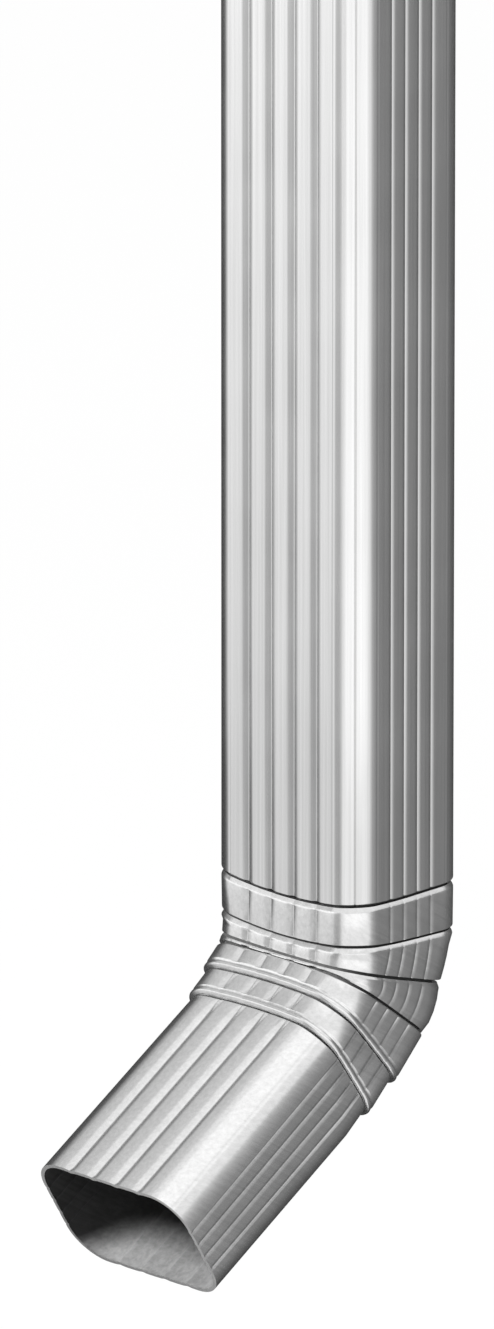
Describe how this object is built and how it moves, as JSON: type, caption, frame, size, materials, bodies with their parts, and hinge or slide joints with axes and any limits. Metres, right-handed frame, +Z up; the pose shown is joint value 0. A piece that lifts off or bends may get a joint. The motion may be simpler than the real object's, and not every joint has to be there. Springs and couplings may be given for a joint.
{
  "type": "downspout",
  "caption": "Corrugated rectangular downspout pipe with a pleated elbow slipped over its foot, turning rainwater away from the wall.",
  "frame": {"origin": "on the middle rib of the pipe's back, where it meets the wall, at the height where a strap would hold it", "axes": "+Z up along the pipe, +Y out of the back towards the wall, X across the front; the outlet points to -Y and down"},
  "size_m": [0.108, 0.2166, 0.7286],
  "materials": {
    "mill_aluminium": "bright rolled sheet, satin, with fine rolling lines along the pipe"
  },
  "bodies": {
    "root": {"downspout_pipe": "mill_aluminium", "elbow": "mill_aluminium"}
  },
  "joints": []
}
